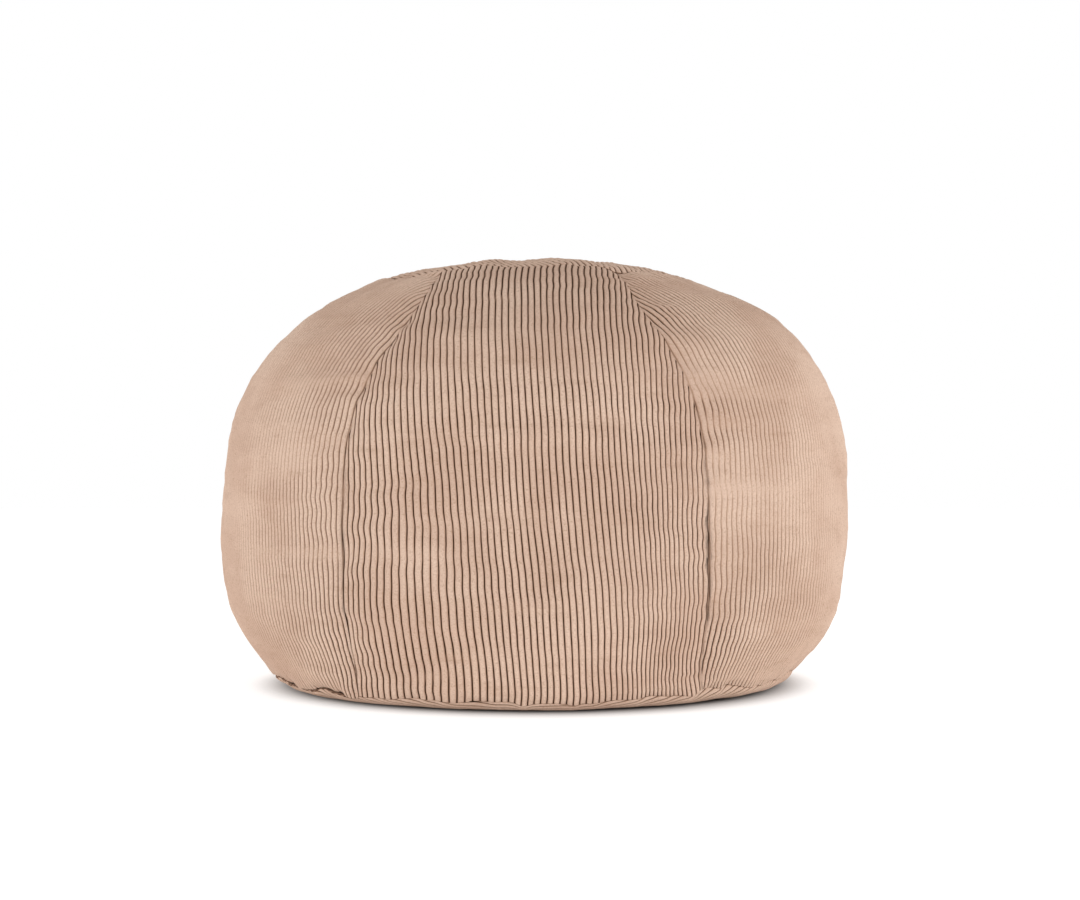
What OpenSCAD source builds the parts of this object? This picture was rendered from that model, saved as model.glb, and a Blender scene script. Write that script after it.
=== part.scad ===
// Round bean bag chair: a corduroy cover sewn from six side panels, a crown panel and a two-piece
// base with a zip, over a zipped inner liner that holds the bead filling.
// The origin is the middle of the face that rests on the floor, +Z is up and -Y is the front.

/* [Body] */
// Diameter at the fullest height
body_d = 880; // [760:10:1000]
// Height of the filled bag
body_h = 590; // [520:10:660]
// Height of the fullest girth above the floor
belly_z = 240; // [200:5:280]
// Diameter of the flat patch that rests on the floor
floor_d = 670; // [600:10:720]
// Fullness of the outline below the fullest girth: 2 is an ellipse and more is squarer
low_fullness = 2.4; // [2.2:0.1:2.8]
// Fullness of the outline above the fullest girth
top_fullness = 2.6; // [2.2:0.1:2.8]

/* [Cover] */
// Number of side panels
side_panels = 6; // [6]
// Width of the crown panel across its corners
crown_d = 500; // [420:10:540]
// How far a crown side bows from a straight side (0) towards a circle (1)
crown_bow = 0.5; // [0:0.1:1]
// Thickness of the corduroy with its pile
cover_t = 3; // [2:0.5:4]
// Width of the sewn seam allowance inside the cover
allowance_w = 12; // [8:1:16]

/* [Base zip] */
// Length of the zip in the base
zip_l = 500; // [400:10:560]
// Width of the gap that the zip lies in
zip_gap_w = 14; // [13:1:18]
// Width of one side of the zip's tape
zip_tape_w = 16; // [14:1:20]

/* [Liner] */
// Length of the liner's zip
liner_zip_l = 300; // [240:10:340]
// Distance of the liner's zip behind the middle
liner_zip_y = 90; // [60:5:120]
// Diameter of the liner's top disc
liner_top_d = 300; // [260:10:340]

/* [Hidden] */

corduroy = "tan";
zip_tan = "burlywood";
liner_white = "whitesmoke";

body_r = body_d / 2;
floor_r = floor_d / 2;
crown_r = crown_d / 2;
liner_top_r = liner_top_d / 2;
panel_angle = 360 / side_panels;
low_curve = 2 / low_fullness;
top_curve = 2 / top_fullness;
low_steps = 9;
high_steps = 14;
seam_u = 72;            // angle of the base seam along the lower curve
crown_clear_r = 150;    // the side panels' outline runs in to here before the crown cuts it

allowance_t = 2.5;      // thickness of the pressed seam allowance
lap_out = cover_t + 0.5; // the allowance's outer face, in from the cover's
lap_in = lap_out + allowance_t;
liner_offset = 6.5;     // the liner's outer face, in from the cover's
liner_t = 1;
liner_z = 11;           // underside of the liner
fill_offset = 8;        // the filling's surface, in from the cover's
fill_z = 14;            // underside of the filling

hem_t = 4;              // folded hem along the base zip
hem_w = 10;
tape_t = 0.7;
tape_z = cover_t + hem_t;
slit_half = 0.6;        // half the slit between the two halves of a zip
zip_end_x = zip_l / 2;

coil_h = 2.4;
coil_w = 2.7;
slider_l = 14;
slider_half_w = 5.2;
wing_t = 1.2;
slider_clear = 0.3;
rail_w = 1.2;
neck_half = 0.4;
slider_rest_x = zip_end_x - 14;
zip_foot_x = -zip_end_x + 14; // the bottom stop keeps the pull inside the gap
stop_l = 4;
bail_z = 0.5;
bail_bar = 1;
bail_half_w = 0.9;
bail_half_l = 4.2;
pivot_z = 2.3;
pull_pin_r = 0.6;
pull_window = 5.2;
pull_l = 28;
pull_half_w = 3.6;

liner_zip_end_x = liner_zip_l / 2;
liner_tape_w = 12;
liner_tape_z = liner_z - tape_t;
liner_coil_h = 1.8;
liner_coil_w = 1.9;
liner_slot_half = 4.5;
liner_slider_l = 10;
liner_slider_half_w = 3.8;
liner_wing_t = 1;
liner_rail_w = 0.8;
liner_slider_rest_x = liner_zip_end_x - 10;

// A point on the outline, o in from the cover's outer face, with its lowest point at height z0.
function low_point(u, o, z0) = [
    floor_r + (body_r - o - floor_r) * pow(cos(u), low_curve),
    z0 + (belly_z - z0) * (1 - pow(sin(u), low_curve))
];
function high_point(u, o) = [
    (body_r - o) * pow(cos(u), top_curve),
    belly_z + (body_h - o - belly_z) * pow(sin(u), top_curve)
];

// The outline between the floor's edge and the base seam.
function rim(o, z0) = [for (i = [0:3]) low_point(90 - (90 - seam_u) * i / 3, o, z0)];

// The outline from the base seam up to the radius r_end on the crown.
function side(o, z0, u_end) = concat(
    [for (i = [0:low_steps - 1]) low_point(seam_u * (1 - i / low_steps), o, z0)],
    [for (i = [0:high_steps]) high_point(u_end * i / high_steps, o)]
);

// The outline over the crown, from the radius at u_start in to the axis.
function dome(o, u_start) = concat(
    [for (i = [0:5]) high_point(u_start + (88 - u_start) * i / 5, o)],
    [[0, body_h - o]]
);

// The angle on the upper curve where the outline has the radius r.
function high_angle(r, o) = acos(pow(r / (body_r - o), 1 / top_curve));

function reversed(v) = [for (i = [len(v) - 1:-1:0]) v[i]];

// The crown's edge: each side bows between the straight chord and the circle.
function crown_edge(a) =
    let (across = abs(a % panel_angle - panel_angle / 2))
    crown_r * pow(cos(panel_angle / 2) / cos(across), 1 - crown_bow);
crown_points = [
    for (a = [0:panel_angle / 6:359]) crown_edge(a + panel_angle / 2)
        * [cos(a - 90), sin(a - 90)]
];

// A solid between two offsets of the side outline, swept through an angle round the axis.
module side_shell(outer, inner, outer_z, inner_z, r_end, middle, sweep) {
    rotate([0, 0, middle - sweep / 2 - 90])
        rotate_extrude(angle = sweep, $fn = 96)
            polygon(concat(
                side(outer, outer_z, high_angle(r_end, outer)),
                reversed(side(inner, inner_z, high_angle(r_end, inner)))
            ));
}

module crown_prism(grow = 0) {
    translate([0, 0, body_h / 2])
        linear_extrude(body_h)
            polygon([for (p = crown_points) p * (1 + grow / crown_r)]);
}

// Panel i is the front one turned i places to the right of the front.
module side_panel(i) {
    color(corduroy)
        rotate([0, 0, i * panel_angle])
            difference() {
                side_shell(0, cover_t, 0, cover_t, crown_clear_r, 0, panel_angle);
                crown_prism();
            }
}

module crown_panel() {
    start_r = crown_r + 5;
    color(corduroy)
        intersection() {
            rotate_extrude($fn = 96)
                polygon(concat(
                    dome(0, high_angle(start_r, 0)),
                    reversed(dome(cover_t, high_angle(start_r, cover_t)))
                ));
            crown_prism();
        }
}

// Half of the base: a flat half disc with an upturned rim, and a folded hem beside the zip.
module base_panel(front) {
    color(corduroy)
        rotate([0, 0, front ? 180 : 0])
            difference() {
                union() {
                    rotate_extrude(angle = 180, $fn = 96)
                        polygon(concat(
                            [[0, 0]], rim(0, 0),
                            reversed(rim(cover_t, cover_t)), [[0, cover_t]]
                        ));
                    translate([-zip_end_x - 16, 0, cover_t / 2])
                        cube([zip_l + 32, zip_gap_w / 2 + hem_w, cover_t / 2 + hem_t]);
                }
                base_gap();
            }
}

// The long gap with round ends that the base zip lies in.
module base_gap() {
    translate([-zip_end_x, -zip_gap_w / 2, -1])
        cube([zip_l, zip_gap_w, tape_z + 2]);
    for (x = [-zip_end_x, zip_end_x])
        translate([x, 0, -1])
            cylinder(d = zip_gap_w, h = tape_z + 2, $fn = 48);
}

module side_seam_allowances() {
    sweep = allowance_w / body_r * 180 / PI;
    color(corduroy)
        for (i = [0:side_panels - 1])
            side_shell(
                lap_out, lap_in, lap_out, lap_in,
                crown_r + allowance_w, (i + 0.5) * panel_angle, sweep
            );
}

module crown_seam_allowance() {
    start_r = crown_r + allowance_w;
    color(corduroy)
        difference() {
            intersection() {
                rotate_extrude($fn = 96)
                    polygon(concat(
                        dome(lap_out, high_angle(start_r, lap_out)),
                        reversed(dome(lap_in, high_angle(start_r, lap_in)))
                    ));
                crown_prism(allowance_w / 2);
            }
            crown_prism(-allowance_w / 2);
        }
}

// The ring of seam allowance below the base seam, and the sewn stretch at each end of the zip.
module base_seam_allowance() {
    outer = [for (i = [0:1]) low_point(seam_u + 5 * i, lap_out, lap_out)];
    inner = [for (i = [0:1]) low_point(seam_u + 5 * i, lap_in, lap_in)];
    color(corduroy) {
        rotate_extrude($fn = 96)
            polygon(concat(outer, reversed(inner)));
        for (side = [-1, 1])
            translate([side * (zip_end_x + floor_r + 25) / 2, 0, lap_out + allowance_t / 2])
                cube([floor_r - zip_end_x - 29, allowance_w, allowance_t], center = true);
    }
}

module zip_tape(side) {
    color(zip_tan)
        translate([-zip_end_x - 12, side > 0 ? slit_half : -slit_half - zip_tape_w, tape_z])
            cube([zip_l + 24, zip_tape_w, tape_t]);
}

module zip_coil(side) {
    color(zip_tan)
        translate([zip_foot_x + stop_l, side > 0 ? slit_half : -slit_half - coil_w, tape_z - coil_h])
            cube([zip_end_x - 6 - zip_foot_x - stop_l, coil_w, coil_h]);
}

module zip_top_stops() {
    color("darkgoldenrod")
        for (side = [-1, 1])
            translate([zip_end_x - 6, side * (slit_half + coil_w / 2) - coil_w / 2, tape_z - coil_h])
                cube([stop_l, coil_w, coil_h]);
}

module zip_bottom_stop() {
    color("darkgoldenrod")
        translate([zip_foot_x, -slit_half - coil_w, tape_z - coil_h])
            cube([stop_l, 2 * (slit_half + coil_w), coil_h]);
}

// The slider's two wings follow one outline, wide at the front and narrow at the back.
module wing(half_l, half_w, t) {
    linear_extrude(t)
        polygon([
            [-half_l, -half_w * 0.9], [half_l * 0.4, -half_w], [half_l * 0.9, -half_w * 0.9],
            [half_l, -half_w * 0.5], [half_l, half_w * 0.5], [half_l * 0.9, half_w * 0.9],
            [half_l * 0.4, half_w], [-half_l, half_w * 0.9]
        ]);
}

// Wings over and under the coil, rails up to the tape, and the neck that joins the wings.
module slider_body(half_l, half_w, wing_h, rail, coil_low, tape_low) {
    low = coil_low - slider_clear - wing_h;
    high = tape_low + tape_t + slider_clear;
    translate([0, 0, low])
        wing(half_l, half_w, wing_h);
    translate([0, 0, high])
        wing(half_l, half_w, wing_h);
    for (side = [-1, 1])
        translate([-half_l, side * (half_w * 0.9 - rail / 2) - rail / 2, low + wing_h / 2])
            cube([half_l * 1.7, rail, tape_low - slider_clear / 2 - low - wing_h / 2]);
    translate([half_l * 0.5, -neck_half, low + wing_h / 2])
        cube([half_l * 0.4, 2 * neck_half, high - low]);
}

module zip_slider() {
    wing_low = tape_z - coil_h - slider_clear - wing_t;
    color("darkgoldenrod")
        translate([slider_rest_x, 0, 0]) {
            slider_body(slider_l / 2, slider_half_w, wing_t, rail_w, tape_z - coil_h, tape_z);
            for (side = [-1, 1])
                translate([side * (bail_half_l - bail_bar / 2), 0, (bail_z + wing_low + 0.4) / 2])
                    cube([bail_bar, 2 * bail_half_w, wing_low + 0.4 - bail_z], center = true);
            translate([-bail_half_l, -bail_half_w, bail_z])
                cube([2 * bail_half_l, 2 * bail_half_w, bail_bar]);
        }
}

// The pull lies flat in the gap: a pin through the slider's bail, two arms and a tab.
module zip_pull() {
    color("darkgoldenrod")
        translate([slider_rest_x, 0, pivot_z]) {
            rotate([90, 0, 0])
                cylinder(r = pull_pin_r, h = 2 * pull_half_w - 0.8, center = true, $fn = 32);
            for (side = [-1, 1])
                translate([-pull_window / 2 - 0.5, side * 2.25, 0])
                    cube([pull_window + 1, 1.9, 2 * pull_pin_r], center = true);
            difference() {
                translate([-pull_window, 0, -pull_pin_r])
                    linear_extrude(2 * pull_pin_r)
                        polygon([
                            [0, -3.2], [-6, -2.6], [-pull_l + pull_window + 3, -pull_half_w],
                            [-pull_l + pull_window, -pull_half_w + 1.5],
                            [-pull_l + pull_window, pull_half_w - 1.5],
                            [-pull_l + pull_window + 3, pull_half_w], [-6, 2.6], [0, 3.2]
                        ]);
                translate([-pull_l + 5, 0, 0])
                    cylinder(d = 3.4, h = 4, center = true, $fn = 32);
            }
        }
}

module care_label() {
    color(liner_white)
        translate([120, -zip_gap_w / 2 - hem_w - 60, cover_t])
            cube([40, 60, 0.5]);
}

module liner_panel(i) {
    color(liner_white)
        side_shell(
            liner_offset, liner_offset + liner_t, liner_z, liner_z + liner_t,
            liner_top_r, i * panel_angle, panel_angle
        );
}

module liner_top() {
    inner = liner_offset + liner_t;
    color(liner_white)
        rotate_extrude($fn = 96)
            polygon(concat(
                dome(liner_offset, high_angle(liner_top_r, liner_offset)),
                reversed(dome(inner, high_angle(liner_top_r, inner)))
            ));
}

module liner_base() {
    color(liner_white)
        difference() {
            rotate_extrude($fn = 96)
                polygon(concat(
                    [[0, liner_z]], rim(liner_offset, liner_z),
                    reversed(rim(liner_offset + liner_t, liner_z + liner_t)),
                    [[0, liner_z + liner_t]]
                ));
            translate([-liner_zip_end_x, liner_zip_y - liner_slot_half, liner_z - 1])
                cube([liner_zip_l, 2 * liner_slot_half, liner_t + 2]);
        }
}

module liner_zip_tape(side) {
    y = side > 0 ? slit_half : -slit_half - liner_tape_w;
    color("white")
        translate([-liner_zip_end_x - 8, liner_zip_y + y, liner_tape_z])
            cube([liner_zip_l + 16, liner_tape_w, tape_t]);
}

module liner_zip_coil(side) {
    y = side > 0 ? slit_half : -slit_half - liner_coil_w;
    color("white")
        translate([-liner_zip_end_x + 3, liner_zip_y + y, liner_tape_z - liner_coil_h])
            cube([liner_zip_l - 7, liner_coil_w, liner_coil_h]);
}

module liner_zip_stops() {
    color("silver") {
        translate([
            -liner_zip_end_x, liner_zip_y - slit_half - liner_coil_w,
            liner_tape_z - liner_coil_h
        ])
            cube([3, 2 * (slit_half + liner_coil_w), liner_coil_h]);
        for (side = [-1, 1])
            translate([
                liner_zip_end_x - 4,
                liner_zip_y + side * (slit_half + liner_coil_w / 2) - liner_coil_w / 2,
                liner_tape_z - liner_coil_h
            ])
                cube([3, liner_coil_w, liner_coil_h]);
    }
}

// The liner's slider has no pull, only a small loop that a paper clip can hook.
module liner_zip_slider() {
    coil_low = liner_tape_z - liner_coil_h;
    wing_low = coil_low - slider_clear - liner_wing_t;
    color("silver")
        translate([liner_slider_rest_x, liner_zip_y, 0]) {
            slider_body(
                liner_slider_l / 2, liner_slider_half_w, liner_wing_t, liner_rail_w,
                coil_low, liner_tape_z
            );
            translate([0, 0, wing_low + 0.2])
                rotate([90, 0, 0])
                    difference() {
                        cylinder(r = 1.9, h = 1.2, center = true, $fn = 32);
                        cylinder(r = 1.0, h = 2, center = true, $fn = 32);
                        translate([-3, 0, -2])
                            cube([6, 6, 4]);
                    }
        }
}

module bead_fill() {
    color("white")
        rotate_extrude($fn = 96)
            polygon(concat(
                [[0, fill_z]], rim(fill_offset, fill_z),
                side(fill_offset, fill_z, high_angle(liner_top_r, fill_offset)),
                dome(fill_offset, high_angle(liner_top_r, fill_offset))
            ));
}

side_panel(0);  // side_panel_front
side_panel(1);  // side_panel_front_right
side_panel(2);  // side_panel_back_right
side_panel(3);  // side_panel_back
side_panel(4);  // side_panel_back_left
side_panel(5);  // side_panel_front_left
crown_panel();
base_panel(true);  // base_panel_front
base_panel(false);  // base_panel_back
side_seam_allowances();
crown_seam_allowance();
base_seam_allowance();
zip_tape(-1);  // zip_tape_front
zip_tape(1);  // zip_tape_back
zip_coil(-1);  // zip_coil_front
zip_coil(1);  // zip_coil_back
zip_top_stops();
zip_bottom_stop();
zip_slider();
zip_pull();
care_label();
liner_panel(0);  // liner_panel_front
liner_panel(1);  // liner_panel_front_right
liner_panel(2);  // liner_panel_back_right
liner_panel(3);  // liner_panel_back
liner_panel(4);  // liner_panel_back_left
liner_panel(5);  // liner_panel_front_left
liner_top();
liner_base();
liner_zip_tape(-1);  // liner_zip_tape_front
liner_zip_tape(1);  // liner_zip_tape_back
liner_zip_coil(-1);  // liner_zip_coil_front
liner_zip_coil(1);  // liner_zip_coil_back
liner_zip_stops();
liner_zip_slider();
bead_fill();
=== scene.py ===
"""The looks of a round corduroy bean bag chair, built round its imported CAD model."""

import math
from types import SimpleNamespace

import bmesh
import bpy
import numpy as np
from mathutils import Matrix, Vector


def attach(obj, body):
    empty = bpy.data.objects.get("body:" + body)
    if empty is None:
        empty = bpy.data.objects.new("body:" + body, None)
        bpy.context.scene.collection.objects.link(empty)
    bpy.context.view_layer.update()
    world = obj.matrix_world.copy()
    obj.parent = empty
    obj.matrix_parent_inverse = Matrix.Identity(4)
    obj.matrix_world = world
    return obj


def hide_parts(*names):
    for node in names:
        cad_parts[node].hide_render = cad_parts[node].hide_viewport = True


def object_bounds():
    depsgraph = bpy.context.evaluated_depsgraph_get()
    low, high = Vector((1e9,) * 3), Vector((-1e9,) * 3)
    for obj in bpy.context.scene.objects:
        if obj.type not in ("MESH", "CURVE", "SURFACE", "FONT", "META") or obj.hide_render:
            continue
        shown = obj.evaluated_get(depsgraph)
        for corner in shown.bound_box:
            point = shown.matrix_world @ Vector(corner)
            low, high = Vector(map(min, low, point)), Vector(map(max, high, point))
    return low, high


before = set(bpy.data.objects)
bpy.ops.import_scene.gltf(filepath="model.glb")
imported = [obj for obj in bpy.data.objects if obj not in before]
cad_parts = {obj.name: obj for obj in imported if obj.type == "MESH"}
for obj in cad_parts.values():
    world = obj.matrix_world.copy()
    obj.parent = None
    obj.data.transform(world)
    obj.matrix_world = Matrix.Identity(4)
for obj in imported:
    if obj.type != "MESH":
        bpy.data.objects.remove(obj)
CAD_BOX = [list(corner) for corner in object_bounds()]

# The bag's outline in metres, as the CAD model draws it.
BODY_R = (CAD_BOX[1][0] - CAD_BOX[0][0]) / 2
BODY_H = CAD_BOX[1][2]
BELLY_Z = 0.240
FLOOR_R = 0.335
LOW_CURVE = 2 / 2.4
TOP_CURVE = 2 / 2.6
SEAM_U = math.radians(72)
CROWN_R = 0.250
CROWN_BOW = 0.5
PANELS = 6
PANEL_ANGLE = 2 * math.pi / PANELS
PANEL_NAMES = ["front", "front_right", "back_right", "back", "back_left", "front_left"]

# The cloth: a wale is one rib of the corduroy.
WALE = 0.008
PILE = 0.0028
CLOTH_T = 0.0028
EDGE_GAP = 0.0002
WALE_STEPS = np.array([0, 0.03, 0.065, 0.12, 0.28, 0.5, 0.72, 0.88, 0.935, 0.97])
END_STEPS = np.array([0, 0.0008, 0.002, 0.004, 0.007, 0.011, 0.016, 0.022, 0.029])
ROW_STEP = 0.0075


# ---------------- the outline


def make_outline():
    """Radius, height and length along the outline, from the flat patch's edge up to the top."""
    low = np.linspace(math.pi / 2, 0, 900)
    high = np.linspace(0, math.pi / 2, 1800)[1:]
    cos_low, cos_high = np.maximum(np.cos(low), 0), np.maximum(np.cos(high), 0)
    r = np.append(FLOOR_R + (BODY_R - FLOOR_R) * cos_low**LOW_CURVE, BODY_R * cos_high**TOP_CURVE)
    z_low = BELLY_Z * (1 - np.sin(low) ** LOW_CURVE)
    z_high = BELLY_Z + (BODY_H - BELLY_Z) * np.sin(high) ** TOP_CURVE
    z = np.append(z_low, z_high)
    s = np.append(0, np.cumsum(np.hypot(np.diff(r), np.diff(z))))
    return r, z, s - np.interp(math.pi / 2 - SEAM_U, math.pi / 2 - low, s[: len(low)])


LINE_R, LINE_Z, LINE_S = make_outline()
PEAK = int(np.argmax(LINE_R))
SLOPE_R = np.gradient(LINE_R, LINE_S)
SLOPE_Z = np.gradient(LINE_Z, LINE_S)
BELLY_S = LINE_S[PEAK]
BASE_R = float(np.interp(0, LINE_S, LINE_R))


def radius_at(s):
    return np.interp(s, LINE_S, LINE_R)


def high_s(r):
    """Length along the outline where its upper part has the radius r."""
    return np.interp(-r, -LINE_R[PEAK:], LINE_S[PEAK:])


def low_s(r):
    return np.interp(r, LINE_R[: PEAK + 1], LINE_S[: PEAK + 1])


def on_outline(azimuth, s):
    """Points and outward normals; azimuth is from the front, -Y, towards +X."""
    r, z = radius_at(s), np.interp(s, LINE_S, LINE_Z)
    slope_r, slope_z = np.interp(s, LINE_S, SLOPE_R), np.interp(s, LINE_S, SLOPE_Z)
    length = np.hypot(slope_r, slope_z)
    out_r, out_z = slope_z / length, -slope_r / length
    points = np.stack([r * np.sin(azimuth), -r * np.cos(azimuth), z], -1)
    normals = np.stack([out_r * np.sin(azimuth), -out_r * np.cos(azimuth), out_z], -1)
    return points, normals


def crown_edge(azimuth):
    """Radius of the crown seam, whose sides bow between a hexagon and a circle."""
    across = np.abs((azimuth + PANEL_ANGLE / 2) % PANEL_ANGLE - PANEL_ANGLE / 2)
    return CROWN_R * (math.cos(PANEL_ANGLE / 2) / np.cos(across)) ** (1 - CROWN_BOW)


# ---------------- noise and cloth relief


def noise(x, y, seed, around=256):
    """Smooth noise from -1 to 1 with features one unit apart; x repeats every around units."""
    grid = np.random.default_rng(seed).uniform(-1, 1, (around, 256))
    i, j = np.floor(x).astype(int), np.floor(y).astype(int)
    fx, fy = x - i, y - j
    fx = fx**3 * (fx * (fx * 6 - 15) + 10)
    fy = fy**3 * (fy * (fy * 6 - 15) + 10)

    def at(a, b):
        return grid[(i + a) % around, (j + b) % 256]

    low = at(0, 0) * (1 - fx) + at(1, 0) * fx
    high = at(0, 1) * (1 - fx) + at(1, 1) * fx
    return low * (1 - fy) + high * fy


def round_noise(azimuth, s, count, size, seed):
    """Noise that runs round the bag, with that many features on the way."""
    return noise(azimuth / (2 * math.pi) * count, s / size, seed, count)


def ease(x):
    x = np.clip(x, 0, 1)
    return x * x * (3 - 2 * x)


def fade(x, length):
    return np.exp(-x / length)


def bell(x, middle, width):
    return np.exp(-(((x - middle) / width) ** 2))


def pile_height(u):
    """Height of the pile over the cloth's groove, from 0 to 1, at u across the wales."""
    from_crest = np.abs(2 * ((u / WALE) % 1) - 1)
    slit = (1 - from_crest**6) ** 0.85
    return 0.7 * slit + 0.3 * (1 - from_crest**2)


def wale_columns(low, high):
    """Places across the wales for the mesh columns, close together at each groove."""
    first = math.floor(low / WALE)
    last = math.ceil(high / WALE)
    u = ((np.arange(first, last)[:, None] + WALE_STEPS) * WALE).ravel()
    gap = 0.0003
    u = u[(u > low + gap) & (u < high - gap)]
    return np.concatenate([[low], u, [high]])


def row_shares(length, step=ROW_STEP):
    """Shares from 0 to 1 along a column, close together near both ends."""
    inner = length - 2 * END_STEPS[-1]
    middle = np.linspace(0, inner, max(2, round(inner / step)))[1:-1] + END_STEPS[-1]
    return np.concatenate([END_STEPS, middle, length - END_STEPS[::-1]]) / length


# ---------------- meshes


def add_object(name, data):
    obj = bpy.data.objects.new(name, data)
    bpy.context.scene.collection.objects.link(obj)
    return obj


def new_object(name, points, faces, material):
    mesh = bpy.data.meshes.new(name)
    mesh.from_pydata(np.asarray(points).tolist(), [], [list(f) for f in faces])
    mesh.polygons.foreach_set("use_smooth", [True] * len(mesh.polygons))
    if material:
        mesh.materials.append(material)
    return add_object(name, mesh)


def ring_faces(columns, rows):
    """Faces of a grid whose columns run once round. Two more points close its ends."""
    first, last = columns * rows, columns * rows + 1
    faces = []
    for c in range(columns):
        a, b = c * rows, (c + 1) % columns * rows
        faces += [[a + r, b + r, b + r + 1, a + r + 1] for r in range(rows - 1)]
        faces += [[first, b, a], [last, a + rows - 1, b + rows - 1]]
    return faces


def raised(points, normals, rise):
    return points + normals * rise[..., None]


def grid_faces(columns, rows, start=0, flip=False):
    c, r = np.meshgrid(np.arange(columns - 1), np.arange(rows - 1), indexing="ij")
    a = start + (c * rows + r).ravel()
    quads = np.stack([a, a + rows, a + rows + 1, a + 1], -1)
    return quads[:, ::-1] if flip else quads


def border(columns, rows):
    """The grid's border as (column, row) pairs, once round."""
    return (
        [(c, 0) for c in range(columns - 1)]
        + [(columns - 1, r) for r in range(rows - 1)]
        + [(c, rows - 1) for c in range(columns - 1, 0, -1)]
        + [(0, r) for r in range(rows - 1, 0, -1)]
    )


def every(count, step):
    """Indices from 0 to count - 1, about step apart, with both ends."""
    return np.unique(np.append(np.arange(0, count - 1, step), count - 1))


INNER_PILE = 0.6
# The shares of the UV map's height that a cloth's outer and inner side take up.
FRONT_UV = 0.8
BACK_UV = 0.16


def cloth_shell(name, outer, inner, pile, flat, material, flip=False, steps=(10, 3)):
    """A closed piece of cloth. outer and inner are grids of points, pile is the outer grid's
    height of pile, which also sets painted shade in its grooves and seam creases, and flat its
    places on the flat cloth, which lay out the UV map.
    The inner side keeps one point in steps, and a strip round the edge joins the two."""
    columns, rows = outer.shape[:2]
    some_c, some_r = every(columns, steps[0]), every(rows, steps[1])
    back = inner[np.ix_(some_c, some_r)]
    start = columns * rows
    front_faces = grid_faces(columns, rows, 0, flip)
    back_faces = grid_faces(len(some_c), len(some_r), start, not flip)

    coarse = {
        (int(c), int(r)): start + i * len(some_r) + j
        for i, c in enumerate(some_c)
        for j, r in enumerate(some_r)
    }
    loop = border(columns, rows)
    strip, held = [], coarse[loop[0]]
    for k, here in enumerate(loop):
        there = loop[(k + 1) % len(loop)]
        a, b = here[0] * rows + here[1], there[0] * rows + there[1]
        strip.append([a, held, b])
        if there in coarse:
            strip.append([held, coarse[there], b])
            held = coarse[there]
    if flip:
        strip = [f[::-1] for f in strip]

    points = np.concatenate([outer.reshape(-1, 3), back.reshape(-1, 3)])
    faces = front_faces.tolist() + back_faces.tolist() + strip
    obj = new_object(name, points, faces, material)
    # The pile attribute darkens the corduroy's colour where it is low: painted shade in the
    # grooves and seam creases.
    height = np.concatenate([pile.ravel(), np.full(len(points) - start, INNER_PILE)])
    attribute = obj.data.attributes.new("pile", "FLOAT", "POINT")
    attribute.data.foreach_set("value", height.astype(np.float32))

    low, high = flat.reshape(-1, 2).min(0), flat.reshape(-1, 2).max(0)
    front_uv = (flat - low) / (high - low) * [1, FRONT_UV]
    back_uv = front_uv[np.ix_(some_c, some_r)]
    edge = np.concatenate([front_uv.reshape(-1, 2), back_uv.reshape(-1, 2)])
    main = edge.copy()
    main[start:, 1] = 1 - BACK_UV * (1 - main[start:, 1] / FRONT_UV)
    loops = np.empty(len(obj.data.loops), int)
    obj.data.loops.foreach_get("vertex_index", loops)
    body = 4 * (len(front_faces) + len(back_faces))
    uv = np.concatenate([main[loops[:body]], edge[loops[body:]]])
    layer = obj.data.uv_layers.new(name="OFBake")
    layer.data.foreach_set("uv", (0.01 + 0.98 * uv).astype(np.float32).ravel())
    return obj


def even_cloth(name, outer, inner, material, flip=False):
    """A closed piece of cloth without wales."""
    flat = np.stack(np.indices(outer.shape[:2]), -1).astype(float)
    pile = np.full(outer.shape[:2], 0.8)
    return cloth_shell(name, outer, inner, pile, flat, material, flip, (1, 1))


def tag(obj, body, node):
    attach(obj, body)
    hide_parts(node)


def as_cloth(obj, node):
    tag(obj, "bag", node)


# ---------------- materials


class Graph:
    """Short ways to add nodes to a material or to the world."""

    def __init__(self, owner):
        owner.use_nodes = True
        self.nodes, self.links = owner.node_tree.nodes, owner.node_tree.links

    def give(self, socket, value):
        """value is a number, a colour or another node's result."""
        if hasattr(value, "is_linked"):
            self.links.new(value, socket)
        else:
            socket.default_value = value

    def add(self, kind, result, inputs=None, **settings):
        """The result of a new node with those settings and inputs."""
        node = self.nodes.new("ShaderNode" + kind)
        for name, setting in settings.items():
            setattr(node, name, setting)
        for name, value in (inputs or {}).items():
            self.give(node.inputs[name], value)
        return node.outputs[result]

    def shade(self, **sockets):
        for name, value in sockets.items():
            self.give(self.shader.inputs[name.replace("_", " ")], value)

    def stretched(self, scale):
        return self.add("VectorMath", 0, {0: self.place, 1: scale}, operation="MULTIPLY")

    def noise(self, scale, detail=2.0, rough=0.5, where=None):
        inputs = {"Scale": scale, "Detail": detail, "Roughness": rough}
        return self.add("TexNoise", "Fac", {**inputs, "Vector": where or self.place})

    def cells(self, scale):
        return self.add("TexVoronoi", "Distance", {"Scale": scale, "Vector": self.place})

    def math(self, operation, a, b):
        return self.add("Math", 0, {0: a, 1: b}, operation=operation)

    def ramp(self, value, low, high, to_low=0.0, to_high=1.0, steps="SMOOTHSTEP"):
        inputs = {"Value": value, "From Min": low, "From Max": high}
        inputs.update({"To Min": to_low, "To Max": to_high})
        return self.add("MapRange", "Result", inputs, interpolation_type=steps)

    def mix(self, share, a, b):
        return self.add("Mix", "Result", {"Factor": share, "A": a, "B": b}, data_type="RGBA")

    def bump(self, height, distance, strength=1.0, under=None):
        inputs = {"Distance": distance, "Strength": strength, "Height": height}
        if under:
            inputs["Normal"] = under
        return self.add("Bump", "Normal", inputs)


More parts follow.
